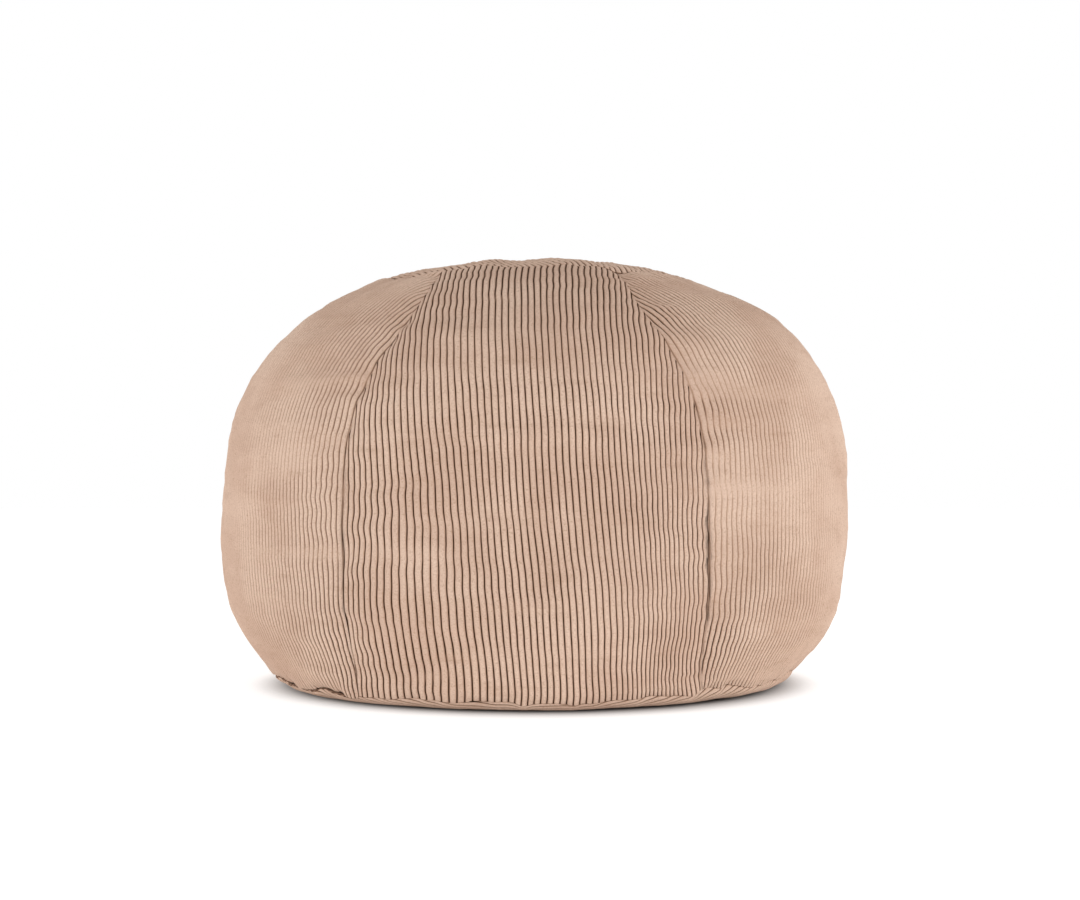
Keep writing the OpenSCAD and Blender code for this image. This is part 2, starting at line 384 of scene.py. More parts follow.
def new_material(name, **sockets):
    """A material and its graph, whose one shader's sockets get those values."""
    material = bpy.data.materials.new(name)
    g = Graph(material)
    g.nodes.clear()
    g.shader = g.nodes.new("ShaderNodeBsdfPrincipled")
    output = g.nodes.new("ShaderNodeOutputMaterial")
    g.links.new(g.shader.outputs["BSDF"], output.inputs["Surface"])
    g.place = g.add("TexCoord", "Object")
    g.shade(**sockets)
    return material, g


CREST = (0.70, 0.50, 0.392, 1)
CREST_PALE = (0.81, 0.607, 0.485, 1)
CREST_DEEP = (0.42, 0.25, 0.165, 1)
# Colours for low pile: painted shade on the wales' flanks, and in the grooves the bare ground
# weave darkened by painted shade.
WALL_SHADE = (0.46, 0.25, 0.145, 1)
GROOVE_SHADE = (0.036, 0.010, 0.003, 1)
LINER_PALE = (0.80, 0.785, 0.745, 1)
LINER_DEEP = (0.68, 0.665, 0.62, 1)
LINER_DOT = (0.55, 0.54, 0.50, 1)
# The beads' white, and the painted shade in the gaps between them.
BEAD_PALE = (0.9, 0.9, 0.88, 1)
BEAD_GAP_SHADE = (0.5, 0.5, 0.48, 1)
WHITE = (1, 1, 1, 1)
# The period of a wave texture of scale 1, in metres.
WAVE_PERIOD = 0.314


def corduroy_material():
    material, g = new_material(
        "corduroy",
        Roughness=0.95,
        Specular_IOR_Level=0.0,
        Sheen_Weight=0.20,
        Sheen_Roughness=0.4,
        Sheen_Tint=(0.88, 0.70, 0.57, 1),
    )
    patches = g.noise(9, 3, 0.55)
    level = g.noise(14, 4, 0.6, g.stretched((1, 1, 4.5)))
    fibres = g.noise(1400, 2, 0.6)
    flecks = g.noise(420, 3, 0.6)
    pile = g.add("Attribute", "Fac", attribute_name="pile")
    colour = g.mix(g.ramp(patches, 0.35, 0.65), CREST, CREST_PALE)
    colour = g.mix(g.ramp(level, 0.52, 0.75, 0, 0.5), colour, CREST_PALE)
    colour = g.mix(g.ramp(level, 0.2, 0.48, 0.3, 0), colour, CREST_DEEP)
    colour = g.mix(g.ramp(flecks, 0.5, 0.75, 0, 0.6), colour, CREST_DEEP)
    colour = g.mix(g.ramp(fibres, 0.35, 0.7, 0, 0.5), colour, CREST_DEEP)
    # Painted shade: the lower the pile attribute, the darker the colour, first towards the
    # flanks' shade and then to near black. This stands in for the shade that falls into the
    # grooves and seam creases.
    colour = g.mix(g.ramp(pile, 0.55, 0.96, 0.55, 0), colour, WALL_SHADE)
    colour = g.mix(g.ramp(pile, 0.29, 0.80), GROOVE_SHADE, colour)
    normal = g.bump(flecks, 0.0010, 0.6, g.bump(fibres, 0.0008, 0.8))
    g.shade(Base_Color=colour, Normal=normal)
    return material


def woven_material(name, light, dark, thread, rough, bump=0.0002, **sockets):
    """Plain weave with threads that wide, in metres."""
    material, g = new_material(name, Roughness=rough, **sockets)
    waves = {"Scale": WAVE_PERIOD / thread, "Distortion": 0.4, "Vector": g.place}
    weave = g.math("MULTIPLY", *(g.add("TexWave", "Fac", waves, bands_direction=d) for d in "XY"))
    uneven = g.noise(60, 3, 0.6)
    colour = g.mix(g.ramp(weave, 0.0, 0.5), dark, light)
    colour = g.mix(g.ramp(uneven, 0.3, 0.8, 0, 0.3), colour, dark)
    g.shade(Base_Color=colour, Normal=g.bump(weave, bump, 0.8))
    return material


def metal_material(name, base, worn, rough):
    material, g = new_material(name, Roughness=rough, Metallic=1.0)
    patches = g.noise(350, 4, 0.6)
    scratches = g.noise(900, 3, 0.7, g.stretched((0.15, 1, 1)))
    g.shade(
        Base_Color=g.mix(g.ramp(patches, 0.42, 0.68), base, worn),
        Roughness=g.ramp(scratches, 0.3, 0.75, rough - 0.08, rough + 0.16),
        Normal=g.bump(scratches, 0.00004, 0.5),
    )
    return material


def coil_material(name, base, deep):
    material, g = new_material(name, Roughness=0.38, Specular_IOR_Level=0.5)
    normal = g.bump(g.noise(2500), 0.00003, 0.4)
    g.shade(Base_Color=g.mix(g.noise(500), base, deep), Normal=normal)
    return material


def liner_material():
    """Bonded non-woven cloth with a pressed pattern of dots."""
    material, g = new_material("liner_cloth", Roughness=0.7, Specular_IOR_Level=0.3)
    fibres = g.noise(700, 4, 0.7)
    cells = g.cells(420)
    colour = g.mix(g.ramp(fibres, 0.35, 0.7), LINER_PALE, LINER_DEEP)
    colour = g.mix(g.ramp(cells, 0.1, 0.3, 0.25, 0), colour, LINER_DOT)
    normal = g.bump(fibres, 0.0002, 0.5, g.bump(cells, 0.0004, 0.6))
    g.shade(Base_Color=colour, Normal=normal)
    return material


def bead_material():
    material, g = new_material("beads", Roughness=0.6, Specular_IOR_Level=0.4)
    cells = g.cells(210)
    normal = g.bump(g.math("SUBTRACT", 1.0, cells), 0.003)
    # Painted shade: the colour darkens from each bead's middle towards the gaps between beads.
    g.shade(Base_Color=g.mix(g.ramp(cells, 0.25, 0.75), BEAD_PALE, BEAD_GAP_SHADE), Normal=normal)
    return material


CORDUROY = corduroy_material()
BROWN = (0.30, 0.20, 0.145, 1), (0.17, 0.105, 0.07, 1)
ECRU = (0.72, 0.70, 0.66, 1), (0.5, 0.485, 0.45, 1)
TAN = (0.52, 0.38, 0.29, 1), (0.36, 0.25, 0.18, 1)
SATIN = (0.86, 0.85, 0.82, 1), (0.74, 0.73, 0.70, 1)
ZIP_TAPE = woven_material("zip_tape", *BROWN, 0.0006, 0.85)
LINER_TAPE = woven_material("liner_tape", *ECRU, 0.0006, 0.85)
THREAD = woven_material("thread", *TAN, 0.0004, 0.7)
LABEL = woven_material("label_satin", *SATIN, 0.0004, 0.4, 0.00006, Sheen_Weight=0.3)
ZIP_COIL = coil_material("zip_coil", (0.24, 0.155, 0.11, 1), (0.17, 0.105, 0.072, 1))
LINER_COIL = coil_material("liner_coil", (0.72, 0.71, 0.68, 1), (0.6, 0.59, 0.56, 1))
BRASS = metal_material("brass", (0.52, 0.38, 0.20, 1), (0.30, 0.21, 0.11, 1), 0.34)
CHROME = metal_material("chrome", (0.72, 0.72, 0.71, 1), (0.5, 0.5, 0.49, 1), 0.26)
LINER_CLOTH = liner_material()
BEADS = bead_material()


# ---------------- the seams


# The front and back panels are cut narrow at the shoulder and wide at the hem. For the seam after
# each panel this says which way it moves: 1 is towards larger azimuths.
SEAM_SIDE = [-1, 0, 1, -1, 0, 1]
HEM_SPREAD = [6.3, 0, 4.5, 5.0, 0, 4.2]
SHOULDER_S = 0.545


def seam_azimuth(k, s):
    """Azimuth of the seam between panel k and the next one."""
    shoulder = math.radians(5.5) * np.exp(-(((s - SHOULDER_S) / 0.085) ** 2) / 2)
    hem = math.radians(HEM_SPREAD[k % PANELS]) * fade(np.maximum(s, 0), 0.075)
    return (k + 0.5) * PANEL_ANGLE + SEAM_SIDE[k % PANELS] * (shoulder - hem)


def seam_shift(n, s):
    """How far seam n lies from its even place, as a share of a panel."""
    shift = np.zeros(np.shape(s))
    for k in range(PANELS):
        plain = (k + 0.5) * PANEL_ANGLE
        here = (seam_azimuth(k, s) - plain) / PANEL_ANGLE
        shift = np.where(n % PANELS == (k + 1) % PANELS, here, shift)
    return shift


# ---------------- the cloth simulation


# Its grid: columns round the bag, rows up it.
SIM_COLUMNS = 252
SIM_ROWS = 84
SIM_TOP = float(high_s(0.03))
PER_PANEL = SIM_COLUMNS // PANELS
SIM_INSET = 0.006
SIM_FRAMES = 20
PRESSURE = 4
SEAM_SHRINK = 0.03
# The share of what it gives that is used, and the most that is used.
SIM_SHARE = 0.6
SIM_CAP = 0.008


def grid_azimuth(column, s):
    """Azimuth of a column of the simulated grid, whose seam columns follow the seams."""
    q = column / PER_PANEL
    n = np.round(q)
    q = q + seam_shift(n, s) * (1 - 2 * np.abs(q - n))
    return (q - 0.5) * PANEL_ANGLE


def grid_column(azimuth, s):
    """The opposite of grid_azimuth."""
    q = azimuth / PANEL_ANGLE + 0.5
    n = np.round(q)
    shift = seam_shift(n, s)
    e = q - n - shift
    return (n + e / np.where(e > 0, 1 - 2 * shift, 1 + 2 * shift)) * PER_PANEL


def blow_up(points, faces, held, tight):
    """Where the points of a closed cloth end up under the filling's pressure. held gives each
    point's share of pinning, and tight how much its edges shrink."""
    obj = new_object("blown", points, faces, None)
    for name, shares in (("held", held), ("tight", tight)):
        group = obj.vertex_groups.new(name=name)
        for i in np.nonzero(shares)[0]:
            group.add([int(i)], float(shares[i]), "REPLACE")
    cloth = obj.modifiers.new("cloth", "CLOTH")
    settings = cloth.settings
    settings.quality = 5
    settings.mass = 0.3
    settings.tension_stiffness = settings.compression_stiffness = 14
    settings.shear_stiffness = 6
    settings.bending_stiffness = 0.4
    settings.use_pressure = True
    settings.uniform_pressure_force = PRESSURE
    settings.vertex_group_mass = "held"
    settings.vertex_group_shrink = "tight"
    settings.shrink_min = 0
    settings.shrink_max = SEAM_SHRINK
    settings.effector_weights.gravity = 0
    cloth.point_cache.frame_start = 1
    cloth.point_cache.frame_end = SIM_FRAMES
    for number in range(1, SIM_FRAMES + 1):
        bpy.context.scene.frame_set(number)
    mesh = obj.evaluated_get(bpy.context.evaluated_depsgraph_get()).to_mesh()
    end = np.empty(3 * len(mesh.vertices))
    mesh.vertices.foreach_get("co", end)
    bpy.data.objects.remove(obj)
    bpy.context.scene.frame_set(1)
    return end.reshape(-1, 3)


def simulated_form():
    """How far a simulated cover stands out from the outline, on the simulation's grid."""
    rows = np.linspace(0, SIM_TOP, SIM_ROWS)
    column, s = np.meshgrid(np.arange(SIM_COLUMNS), rows, indexing="ij")
    azimuth = grid_azimuth(column, s)
    points, normals = on_outline(azimuth, s)
    ends = np.array([[0, 0, points[0, 0, 2]], [0, 0, points[0, -1, 2]]])
    start = np.concatenate([(points - SIM_INSET * normals).reshape(-1, 3), ends])
    held = np.where(s < 0.01, 1.0, 0.0)
    crown = np.abs(s - high_s(crown_edge(azimuth))) < 0.008
    tight = np.where((column % PER_PANEL == 0) | crown, 1.0, 0.0)
    faces = ring_faces(SIM_COLUMNS, SIM_ROWS)
    end = blow_up(start, faces, np.append(held, [1, 1]), np.append(tight, [0, 0]))
    out = ((end[:-2].reshape(points.shape) - points) * normals).sum(-1)
    return np.clip(SIM_SHARE * (out - out.mean(0)), -SIM_CAP, SIM_CAP)


SIM_FORM = simulated_form()


def spline_weights(t):
    """The four weights of a cubic B-spline."""
    second = (3 * t**3 - 6 * t**2 + 4) / 6
    third = (-3 * t**3 + 3 * t**2 + 3 * t + 1) / 6
    return [(1 - t) ** 3 / 6, second, third, t**3 / 6]


def simulated(azimuth, s):
    """The simulated form at any place, smoothly."""
    column = grid_column(azimuth, s)
    row = np.clip(s / SIM_TOP, 0, 1) * (SIM_ROWS - 1)
    i, j = np.floor(column).astype(int), np.floor(row).astype(int)
    total = 0
    for a, wide in enumerate(spline_weights(column - i)):
        for b, tall in enumerate(spline_weights(row - j)):
            near = np.clip(j + b - 1, 0, SIM_ROWS - 1)
            total = total + wide * tall * SIM_FORM[(i + a - 1) % SIM_COLUMNS, near]
    return total


# ---------------- the filled bag's form


def off_middle(s):
    """0 in the middle of the crown, where waves that run round the bag would pinch, then 1."""
    return np.where(s > BELLY_S, ease((radius_at(s) - 0.03) / 0.10), 1.0)


def plan_noise(azimuth, s, size, seed):
    r = radius_at(s)
    return noise(r * np.sin(azimuth) / size, r * np.cos(azimuth) / size, seed)


def form(azimuth, s):
    """How far the filled bag stands out from the plain outline: soft lumps of filling."""
    lumps = 0.0030 * round_noise(azimuth, s, 17, 0.17, 11)
    lumps += 0.0015 * round_noise(azimuth, s, 36, 0.075, 12)
    lumps += simulated(azimuth, s)
    middle = 0.0025 * plan_noise(azimuth, s, 0.08, 13)
    lumps = middle + off_middle(s) * (lumps - middle)
    right = np.sin(azimuth)
    settled = 0.0050 * right * bell(s, 0.50, 0.16)
    slack = 0.0012 * ease(-right) * bell(s, 0.56, 0.07)
    slack += 0.0045 * ease(right) * bell(s, 0.61, 0.05)
    tucked = 0.0085 * bell(s, 0.055, 0.045)
    tucked += (0.008 * right**2 + 0.005 * ease(right)) * bell(s, 0.01, 0.045)
    return lumps + settled - slack - tucked


def wrinkles(azimuth, s):
    """Fine ripples that run level round the bag, deeper beside the side seams."""
    q = azimuth / PANEL_ANGLE + 0.5
    beside = fade(np.abs(q - np.round(q)) * PANEL_ANGLE * BODY_R, 0.07)
    level = 0.0009 * round_noise(azimuth, s, 26, 0.019, 21)
    level += 0.0017 * beside * round_noise(azimuth, s, 34, 0.014, 23)
    level += 0.0005 * round_noise(azimuth, s, 60, 0.010, 22)
    middle = 0.0007 * plan_noise(azimuth, s, 0.025, 24)
    return middle + off_middle(s) * (level - middle)


def outer_rise(azimuth, s):
    return form(azimuth, s) + wrinkles(azimuth, s)


def pucker(along, away, seed):
    """Gathers beside a seam, seen along it and away from it."""
    wide = noise(along / 0.024, away / 0.05, seed)
    fine = noise(along / 0.011, away / 0.03, seed + 1)
    return 0.0017 * fade(away, 0.022) * (wide + 0.5 * fine)


def side_pucker(k, along, away):
    """Gathers beside the seam after panel k."""
    return pucker(along, away, 51 + 2 * (k % PANELS))


def crown_pucker(azimuth, away):
    return pucker(azimuth * CROWN_R + 9, away, 71)


def base_pucker(azimuth, away):
    along = azimuth * FLOOR_R + 9
    gathers = 0.0024 * noise(along / 0.06, away / 0.06, 83) * fade(away, 0.03)
    return gathers + 2.0 * pucker(along, away, 81)


def seam_dip(away):
    return -0.0009 * fade(away, 0.0010) - 0.0011 * fade(away, 0.015)


# ---------------- the corduroy cover


# How far each panel's wales lean sideways on their way down to the base.
LEAN = [0.034, -0.005, 0.016, -0.020, 0.012, 0.005]
# How far each panel's grooves are closed by brushed pile.
BRUSHED = [-0.20, 0.37, 0.28, -0.10, 0.30, 0.36]
# How far they open on the shoulder.
OPENED = [1, 1, 0.7, 1, 0.5, 0.3]
# How much of the width that a panel loses below the belly is gathered instead of cut away.
GATHERED = 0.8


def closed(pile, azimuth, s, share, shoulder):
    """The pile's height where that share of it is brushed over the grooves. It's more in patches
    and level streaks, and less near the base and, as far as shoulder says, on the shoulder,
    where the cloth bends and its grooves open."""
    patches = round_noise(azimuth, s, 24, 0.09, 25)
    streaks = ease(1.6 * round_noise(azimuth, s, 15, 0.020, 26))
    opened = shoulder * ease((s - 0.44) / 0.16) + 0.5 * ease((0.20 - s) / 0.15)
    share = (share + 0.13 * (1 + patches)) * (1 - opened) - 0.35 * opened + 0.15 * streaks
    return np.maximum(1 - (1 - pile) * (1 - share), 0)


def seam_shade(pile, away, dark=0.5):
    """The pile values that set the cloth's colour, lower by that share in the seam's crease:
    painted shade that darkens it. The cloth's form does not use them.
    """
    return pile * (1 - dark + dark * ease((away + 0.0003) / 0.0014))


def pile_relief(pile, away):
    """How far the cloth's outer side lies under the wales' crests, level at the seams."""
    return PILE * (pile - 1) * ease(away / 0.0015)


def cloth_half(half):
    """Half the cloth's width along the outline, where half of a panel is that wide."""
    widest = int(np.argmax(half))
    lost = np.where(np.arange(len(half)) < widest, half[widest] - half, 0)
    return half + GATHERED * lost


def cloth_span(half, width):
    """From where to where along the outline the cloth is wider than that."""
    top = int(np.argmax(half))
    low = np.interp(width, half[: top + 1], LINE_S[: top + 1])
    return low, np.interp(-width, -half[top:], LINE_S[top:])


def corduroy_piece(name, node, surface, rises, pile, flat):
    points, normals = surface
    outer, inner = (raised(points, normals, rise) for rise in rises)
    as_cloth(cloth_shell("cover_" + name, outer, inner, pile, flat, CORDUROY), node)


def side_panel(k):
    middle = k * PANEL_ANGLE
    half_right = LINE_R * (seam_azimuth(k, LINE_S) - middle)
    half_left = LINE_R * (middle - seam_azimuth(k - 1, LINE_S))
    cloth_right, cloth_left = cloth_half(half_right), cloth_half(half_left)
    u = wale_columns(EDGE_GAP - cloth_left.max(), cloth_right.max() - EDGE_GAP)
    low_right, high_right = cloth_span(cloth_right, u)
    low_left, high_left = cloth_span(cloth_left, -u)
    low = np.maximum(np.where(u > 0, low_right, low_left), 0)
    high = np.where(u > 0, high_right, high_left)
    crown = np.full(len(u), CROWN_R)
    for _ in range(20):
        crown = crown_edge(np.clip(u / crown, -PANEL_ANGLE / 2, PANEL_ANGLE / 2))
    crown_s = high_s(crown)
    high = np.minimum(high, crown_s)

    share = row_shares(high.max() - low.min())
    along = low[:, None] + (high - low)[:, None] * share
    across = np.repeat(u[:, None], len(share), 1)
    fit_right = np.interp(along, LINE_S, half_right / np.maximum(cloth_right, 1e-6))
    fit_left = np.interp(along, LINE_S, half_left / np.maximum(cloth_left, 1e-6))
    shown = across * (fit_left + (fit_right - fit_left) * ease(across / 0.12 + 0.5))
    slant = 1 / np.sqrt(1 + (PANEL_ANGLE / 2 * np.interp(along, LINE_S, SLOPE_R)) ** 2)
    to_right = np.maximum((np.interp(along, LINE_S, half_right) - shown) * slant, 0)
    to_left = np.maximum((np.interp(along, LINE_S, half_left) + shown) * slant, 0)
    to_crown = np.maximum(crown_s[:, None] - along, 0)
    to_base = np.maximum(along, 0)
    to_side = np.minimum(to_right, to_left)
    to_end = np.minimum(to_crown, to_base)
    nearest = np.minimum(to_side, to_end)

    jogs = 0.25 + fade(to_side, 0.05)
    sway = 0.0018 * jogs * noise(across / 0.035, along / 0.018, 31 + k)
    sway += 0.0020 * noise(across / 0.16, along / 0.13, 41 + k)
    lean = LEAN[k] * ease(1 - along / 0.58) * ease(to_side / 0.16)
    azimuth = middle + (shown + sway * ease(nearest / 0.02) + lean) / radius_at(along)

    rise = outer_rise(azimuth, along)
    rise += side_pucker(k, along, to_right) + side_pucker(k - 1, along, to_left)
    rise += crown_pucker(azimuth, to_crown) + base_pucker(azimuth, to_base)
    rise += seam_dip(nearest)
    offset = 0.5 * WALE * (k % 2)
    pile = closed(pile_height(across + offset), azimuth, along, BRUSHED[k], OPENED[k])
    rises = rise + pile_relief(pile, nearest), rise - CLOTH_T
    pile = seam_shade(seam_shade(pile, to_side, 0.1), to_end)
    name, node = PANEL_NAMES[k], "side_panel_" + PANEL_NAMES[k]
    flat = np.stack([across, along], -1)
    corduroy_piece(name, node, on_outline(azimuth, along), rises, pile, flat)


def crown_panel():
    """The crown's wales run back and a little to the left."""
    turn = math.radians(20)
    ahead = np.array([-math.sin(turn), math.cos(turn)])
    side = np.array([math.cos(turn), math.sin(turn)])
    ring = np.linspace(0, 2 * math.pi, 1441)[:-1]
    edge = crown_edge(ring)
    plan = np.stack([edge * np.sin(ring), -edge * np.cos(ring)], -1)
    p, q = plan @ side, plan @ ahead
    left, right = int(np.argmin(p)), int(np.argmax(p))
    one = np.arange(left, left + (right - left) % len(p) + 1) % len(p)
    two = np.arange(right, right + (left - right) % len(p) + 1) % len(p)
    columns = wale_columns(p.min() + EDGE_GAP, p.max() - EDGE_GAP)
    low = np.interp(columns, p[one], q[one])
    high = np.interp(-columns, -p[two], q[two])
    if low.mean() > high.mean():
        low, high = high, low
    share = row_shares(q.max() - q.min(), 0.009)
    along = low[:, None] + (high - low)[:, None] * share
    across = np.repeat(columns[:, None], len(share), 1)
    sway = 0.0010 * noise(across / 0.05, along / 0.035, 91)
    sway += 0.0022 * noise(across / 0.16, along / 0.12, 92)
    x, y = (across * side[i] + along * ahead[i] for i in (0, 1))
    away = np.maximum(crown_edge(np.arctan2(x, -y)) - np.hypot(x, y), 0)
    sway *= ease(away / 0.02)
    x, y = x + sway * side[0], y + sway * side[1]
    azimuth, s = np.arctan2(x, -y), high_s(np.hypot(x, y))
    rise = outer_rise(azimuth, s) + crown_pucker(azimuth, away) + seam_dip(away)
    pile = pile_height(across)
    rises = rise + pile_relief(pile, away), rise - CLOTH_T
    pile, flat = seam_shade(pile, away), np.stack([across, along], -1)
    corduroy_piece("crown", "crown_panel", on_outline(azimuth, s), rises, pile, flat)


def under_surface(x, y):
    """Points and normals of the bag's underside, with its upturned rim."""
    r = np.hypot(x, y)
    azimuth = np.arctan2(x, -y)
    points, normals = on_outline(azimuth, low_s(np.maximum(r, FLOOR_R)))
    flat = (r < FLOOR_R)[..., None]
    points = np.where(flat, np.stack([x, y, 0 * r], -1), points)
    return points, np.where(flat, np.array([0.0, 0.0, -1.0]), normals)


EASE_IN = 0.030
BASE_ROW_STEP = 0.009
GAP_HALF = 0.007
GAP_END_X = 0.250
STITCH_Y = 0.0040
LOWEST = 0.0002
# The hem beside the base zip: steps away from its edge and up, outside and inside the fold.
HEM = [
    ((0.0009, 0.0001), (0.0040, 0.0029)),
    ((0.0003, 0.0006), (0.0034, 0.0030)),
    ((0.0000, 0.0016), (0.0030, 0.0032)),
    ((0.0000, 0.0050), (0.0030, 0.0037)),
    ((0.0004, 0.0060), (0.0032, 0.0039)),
    ((0.0014, 0.0065), (0.0040, 0.0040)),
    ((0.0050, 0.0066), (0.0060, 0.0040)),
    ((0.0095, 0.0065), (0.0094, 0.0041)),
]


def base_shares(step, bend_from, bend_to):
    """Shares across the base, closer together where the edge bends round a slot's ends."""
    ends = np.outer([-1, 1], np.arange(bend_from, bend_to, 0.0015)).ravel()
    return np.unique(np.append(row_shares(2 * BASE_R, step), (BASE_R + ends) / (2 * BASE_R)))


def base_places(split, side, depth, share, slot_half, slot_end):
    """Plan places of the part of the base beyond the line y = split. depth is the distance from
    that line, and the part's edge bends round a slot that is on the line."""
    start = split + side * depth
    half = np.sqrt(np.maximum(BASE_R**2 - start**2, 0.002**2))
    x = (2 * share - 1) * half[:, None]
    depth = np.repeat(depth[:, None], len(share), 1)
    past = np.clip(np.abs(x) - slot_end, 0, slot_half)
    slot = np.where(np.abs(x) < slot_end + slot_half, np.sqrt(slot_half**2 - past**2), 0)
    y = split + side * (depth + slot * (1 - ease(depth / EASE_IN)))
    return x, y, depth


def base_panel(name, side):
    """Half of the base. Its wales run along the zip and bend round the gap's ends."""
    edge = wale_columns(0.0, BASE_R - EDGE_GAP)[::-1]
    share = base_shares(BASE_ROW_STEP, 0.240, 0.262)
    x, y, depth = base_places(0, side, edge, share, GAP_HALF, GAP_END_X)
    points, normals = under_surface(x, y)
    away = np.maximum(BASE_R - np.hypot(x, depth), 0)
    azimuth = np.arctan2(x, -y)
    rise = outer_rise(azimuth, 0 * azimuth) * fade(away, 0.02)
    rise += base_pucker(azimuth, away) * fade(away, 0.03) + seam_dip(away)
    sag = noise(x / 0.05, y / 0.03, 95)
    rise -= 0.0006 * (1 + sag) * ease(away / 0.03) * ease(depth / 0.03)
    pile = pile_height(depth)
    relief = 0.8 * pile_relief(pile, away) * ease((depth - 0.003) / 0.004)
    stitched = 0.0011 * bell(depth, STITCH_Y, 0.0010) * (away > 0.02)
    pile = seam_shade(pile, away)
    outer = raised(points, normals, rise + relief - stitched)
    outer[..., 2] = np.maximum(outer[..., 2], LOWEST)
    inner = raised(points, normals, rise - CLOTH_T)
    inner[..., 2] = np.maximum(inner[..., 2], outer[..., 2] + 0.0012)

    size = 0.1 + 0.9 * ease(away[-1] / 0.03)[:, None]
    folds = [[outer[-1] + size * [0, side * back, up] for back, up in pair] for pair in HEM]
    outer = np.concatenate([outer[:-1], [fold[0] for fold in folds]])
    inner = np.concatenate([inner[:-1], [fold[1] for fold in folds]])
    pile = np.concatenate([pile[:-1], np.full((len(HEM), len(share)), 0.9)])
    hem_depth = np.repeat(-0.001 * np.arange(1, len(HEM) + 1)[:, None], len(share), 1)
    depth = np.concatenate([depth[:-1], hem_depth])
    x = np.concatenate([x[:-1], np.repeat(x[-1:], len(HEM), 0)])
    flat = np.stack([depth, x], -1)
    obj = cloth_shell("cover_base_" + name, outer, inner, pile, flat, CORDUROY, side > 0)
    as_cloth(obj, "base_panel_" + name)


for index in range(PANELS):
    side_panel(index)
crown_panel()
base_panel("front", -1)
base_panel("back", 1)


# ---------------- seam allowances and liner

ALLOWANCE_T = 0.0016
ALLOWANCE_DEPTH = 0.0062
ALLOWANCE = np.array([-0.0006, 0.0025, 0.0060, 0.0098])
LINER_DEPTH = 0.0112
LINER_T = 0.0008
LINER_GAP = 0.0003
LINER_TOP_R = 0.150
LINER_ZIP_Y = 0.090
LINER_SLOT_HALF = 0.0045
LINER_SLOT_END = 0.146
FILL_DEPTH = 0.0142
FILL_HOLE_R = 0.012
BEAD_SIZE = 0.0022


def allowance(name, node, azimuth, along, ripple):
    """A seam's two raw edges, pressed flat together under the cover."""
    points, normals = on_outline(azimuth, along)
    rise = outer_rise(azimuth, along) + ripple - ALLOWANCE_DEPTH
    outer, inner = (raised(points, normals, rise - down) for down in (0, ALLOWANCE_T))
    as_cloth(even_cloth("allowance_" + name, outer, inner, CORDUROY), node)


def allowances():
    top = float(high_s(CROWN_R)) - 0.014
    along = np.repeat(np.linspace(0.012, top, 110)[None], len(ALLOWANCE), 0)
    across = np.repeat(ALLOWANCE[:, None], along.shape[1], 1)
    for k in range(PANELS):
        azimuth = seam_azimuth(k, along) + across / radius_at(along)
        ripple = side_pucker(k, along, np.abs(across))
        allowance(PANEL_NAMES[k], "side_seam_allowances", azimuth, along, ripple)
    ring = np.repeat(np.linspace(0, 2 * math.pi - 0.003, 361)[:, None], len(ALLOWANCE), 1)
    across = np.repeat(ALLOWANCE[None, ::-1], len(ring), 0)
    crown_line = high_s(crown_edge(ring)) - across
    ripple = crown_pucker(ring, np.abs(across))
    allowance("crown", "crown_seam_allowance", ring, crown_line, ripple)
    ripple = base_pucker(ring, np.abs(across))
    allowance("base", "base_seam_allowance", ring, -across, ripple)


def creased(u, v, seed):
    """Crisp folds of thin stiff cloth: 0 on each fold's ridge, less between them."""
    folds = 0.0011 * np.abs(noise(u / 0.055, v / 0.04, seed))
    return -folds - 0.0004 * np.abs(noise(u / 0.018, v / 0.022, seed + 1))


def liner_cloth(name, node, surface, rise, flip=False):
    outer, inner = (raised(*surface, rise - down) for down in (0, LINER_T))
    as_cloth(even_cloth("liner_" + name, outer, inner, LINER_CLOTH, flip), node)


def liner_panel(k):
    half = PANEL_ANGLE / 2 - 0.0004
    azimuth = k * PANEL_ANGLE + np.linspace(-half, half, 41)
    along = np.linspace(LINER_GAP, float(high_s(LINER_TOP_R)) - LINER_GAP, 90)
    azimuth, along = np.meshgrid(azimuth, along, indexing="ij")
    to_seam = (half - np.abs(azimuth - k * PANEL_ANGLE)) * radius_at(along)
    rise = form(azimuth, along) - LINER_DEPTH - 0.0010 * fade(to_seam, 0.006)
    rise += creased(azimuth * BODY_R, along, 201 + k) * ease(along / 0.02)
    name = PANEL_NAMES[k]
    liner_cloth(name, "liner_panel_" + name, on_outline(azimuth, along), rise)


def liner_top():
    u, v = np.meshgrid(np.linspace(-1, 1, 41), np.linspace(-1, 1, 41), indexing="ij")
    x = 0.9985 * LINER_TOP_R * u * np.sqrt(1 - v**2 / 2)
    y = 0.9985 * LINER_TOP_R * v * np.sqrt(1 - u**2 / 2)
    r = np.hypot(x, y)
    azimuth, along = np.arctan2(x, -y), high_s(r)
    rise = form(azimuth, along) * ease(r / 0.10) - LINER_DEPTH
    rise += creased(x, y, 211) * ease((LINER_TOP_R - r) / 0.02)
    liner_cloth("crown", "liner_top", on_outline(azimuth, along), rise)


def floor_rise(x, y, depth):
    """Rise of an inner layer above the bag's underside."""
    away = np.maximum(BASE_R - np.hypot(x, y), 0)
    azimuth = np.arctan2(x, -y)
    return form(azimuth, 0 * azimuth) * fade(away, 0.02) - depth


def liner_base(name, side):
    length = BASE_R - side * LINER_ZIP_Y - 0.0005
    depth = np.concatenate([[0, 0.002, 0.005], np.linspace(0.010, length, round(length / 0.008))])
    share = base_shares(0.008, 0.140, 0.153)
    slot = LINER_SLOT_HALF, LINER_SLOT_END
    x, y, depth = base_places(LINER_ZIP_Y, side, depth[::-1], share, *slot)
    rise = floor_rise(x, y, LINER_DEPTH)
    rise += creased(x, y, 221) * ease(depth / 0.02) * ease((BASE_R - np.hypot(x, y)) / 0.02)
    liner_cloth("base_" + name, "liner_base", under_surface(x, y), rise, side > 0)


